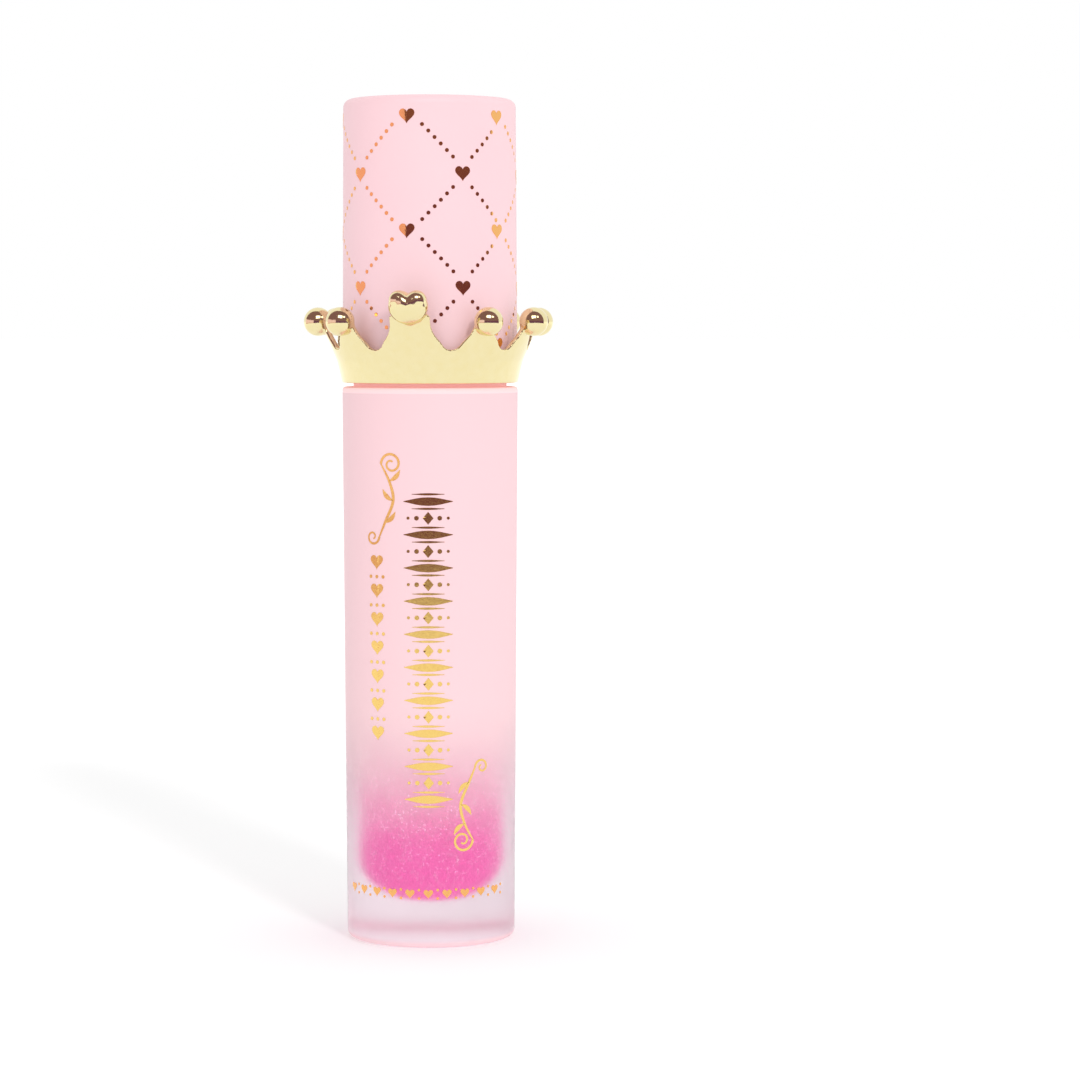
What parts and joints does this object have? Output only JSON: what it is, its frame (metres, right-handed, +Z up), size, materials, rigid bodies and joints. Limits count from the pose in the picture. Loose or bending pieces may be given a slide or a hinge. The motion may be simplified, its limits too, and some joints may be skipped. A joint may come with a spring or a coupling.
{
  "type": "lip gloss tube",
  "caption": "Round thick-walled lip gloss bottle with a screw cap that carries a crown collar, a stem and a flocked doe-foot applicator.",
  "frame": {"origin": "centre of the flat face that the bottle stands on", "axes": "+Z up along the tube's axis; the crown's heart and the bottle's decoration face -Y"},
  "size_m": [0.0294, 0.0303, 0.1002],
  "materials": {
    "bottle": "satin",
    "wiper": "satin",
    "gloss_fill": "gloss",
    "seal_ring": "matte",
    "inner_cap": "satin",
    "cap_shell": "matte",
    "crown": "polished",
    "stem": "satin",
    "applicator": "satin",
    "flock": "matte"
  },
  "bodies": {
    "bottle": {"bottle": "bottle", "wiper": "wiper", "gloss_fill": "gloss_fill"},
    "seal": {"seal_ring": "seal_ring"},
    "cap": {"inner_cap": "inner_cap", "cap_shell": "cap_shell", "crown": "crown", "stem": "stem", "applicator": "applicator", "flock": "flock"}
  },
  "joints": [
    {"name": "cap_pull", "type": "slide", "parent": "bottle", "child": "seal", "axis": [0, 0, 1], "range_m": [0, 0.076], "deforming": ["wiper", "gloss_fill"]},
    {"name": "cap_twist", "type": "hinge", "parent": "seal", "child": "cap", "pos_m": [0, 0, 0.0815], "axis": [0, 0, 1], "range_deg": [0, 450]}
  ]
}
